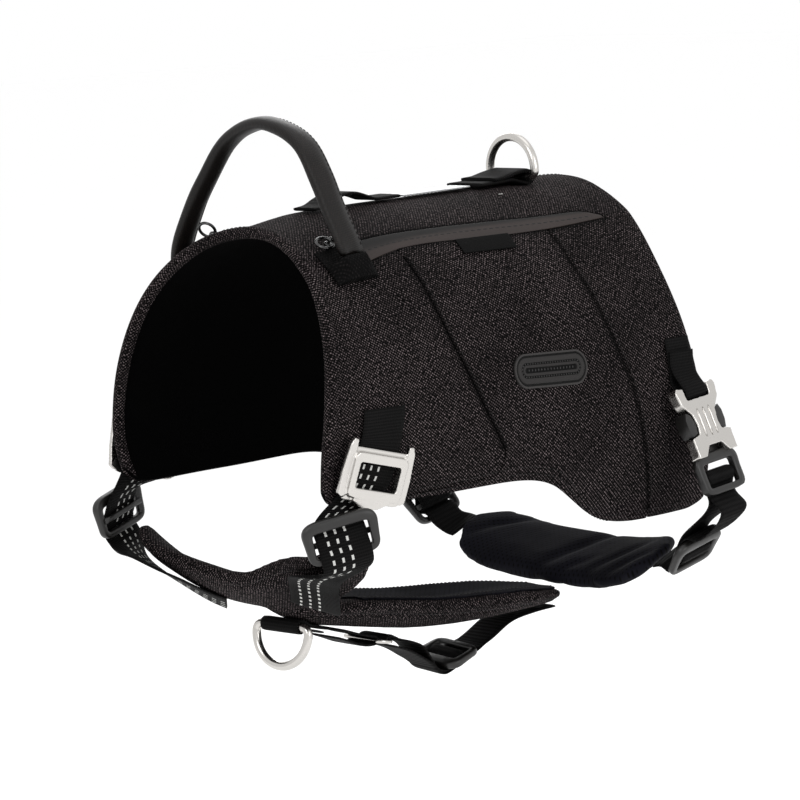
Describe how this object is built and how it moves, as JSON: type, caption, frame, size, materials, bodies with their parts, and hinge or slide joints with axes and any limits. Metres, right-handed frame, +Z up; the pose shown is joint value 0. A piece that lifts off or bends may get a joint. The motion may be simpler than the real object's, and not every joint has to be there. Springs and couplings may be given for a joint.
{
  "type": "dog harness",
  "caption": "Dog harness held in worn form: padded coat with grab handle, side pockets, lead rings, steel buckles, adjustable straps, chest and belly pads.",
  "frame": {"origin": "underside of the lining on the ridge of the coat, half way along it, where it rests on the dog's back", "axes": "+X to the dog's left, +Y towards its tail, +Z up"},
  "size_m": [0.282, 0.329, 0.3471],
  "materials": {
    "nylon_shell": "coarse matte black nylon weave",
    "lining_cloth": "dark foam-backed lining cloth",
    "zip_tape": "smooth coated charcoal tape over the zip",
    "webbing": "ribbed black webbing with silver-grey dashes on the outer straps",
    "handle_cloth": "smooth satin dark grey sleeve",
    "patch_nylon": "fine black nylon",
    "pad_nylon": "brown-black nylon over padding",
    "mesh_lining": "blue-black perforated mesh",
    "polished_steel": "polished pale steel",
    "moulded_plastic": "moulded charcoal plastic",
    "port_rubber": "moulded black rubber",
    "gloss_metal": "gloss black",
    "reflective": "silver reflective tape"
  },
  "bodies": {
    "harness": {"belly_pad": "mesh_lining", "belly_slider_L": "moulded_plastic", "belly_slider_R": "moulded_plastic", "belly_strap_L": "webbing", "belly_strap_R": "webbing", "chest_lining": "mesh_lining", "chest_pad": "pad_nylon", "chest_slider": "moulded_plastic", "chest_strap": "webbing", "chest_tab": "webbing", "finger_loop": "webbing", "front_binding": "nylon_shell", "front_buckle_L": "polished_steel", "front_buckle_R": "polished_steel", "front_slider_L": "moulded_plastic", "front_slider_R": "moulded_plastic", "front_strap_L": "webbing", "front_strap_R": "webbing", "front_tab_L": "webbing", "front_tab_R": "webbing", "handle": "handle_cloth", "handle_base_L": "patch_nylon", "handle_base_R": "patch_nylon", "keeper": "polished_steel", "label_L": "patch_nylon", "label_R": "patch_nylon", "lining": "lining_cloth", "pocket_L": "nylon_shell", "pocket_R": "nylon_shell", "port_L": "port_rubber", "port_R": "port_rubber", "rear_buckle_L": "polished_steel", "rear_buckle_R": "polished_steel", "rear_lock_L": "moulded_plastic", "rear_lock_R": "moulded_plastic", "rear_tab_L": "webbing", "rear_tab_R": "webbing", "reflective_strip": "reflective", "ring_fold": "webbing", "ring_tab": "webbing", "shell": "nylon_shell", "zip_slider_L": "gloss_metal", "zip_slider_R": "gloss_metal", "zip_tape_L": "zip_tape", "zip_tape_R": "zip_tape"},
    "rear_lead_ring": {"rear_ring": "polished_steel"},
    "chest_lead_ring": {"chest_ring": "polished_steel"},
    "left_zip_pull": {"zip_pull_L": "gloss_metal"},
    "right_zip_pull": {"zip_pull_R": "gloss_metal"}
  },
  "joints": [
    {"name": "rear_ring_swing", "type": "hinge", "parent": "harness", "child": "rear_lead_ring", "pos_m": [0, 0.0775, 0.0072], "axis": [1, 0, 0], "range_deg": [-75, 60]},
    {"name": "chest_ring_swing", "type": "hinge", "parent": "harness", "child": "chest_lead_ring", "pos_m": [0, -0.127, -0.2379], "axis": [0.985, 0.17, -0.03], "range_deg": [-100, 60]},
    {"name": "left_zip_pull_swing", "type": "hinge", "parent": "harness", "child": "left_zip_pull", "pos_m": [0.05269, -0.11805, -0.01133], "axis": [0.8659, 0, -0.5002], "range_deg": [-40, 0]},
    {"name": "right_zip_pull_swing", "type": "hinge", "parent": "harness", "child": "right_zip_pull", "pos_m": [-0.05269, -0.11805, -0.01133], "axis": [0.8659, 0, 0.5002], "range_deg": [-110, 60]}
  ]
}
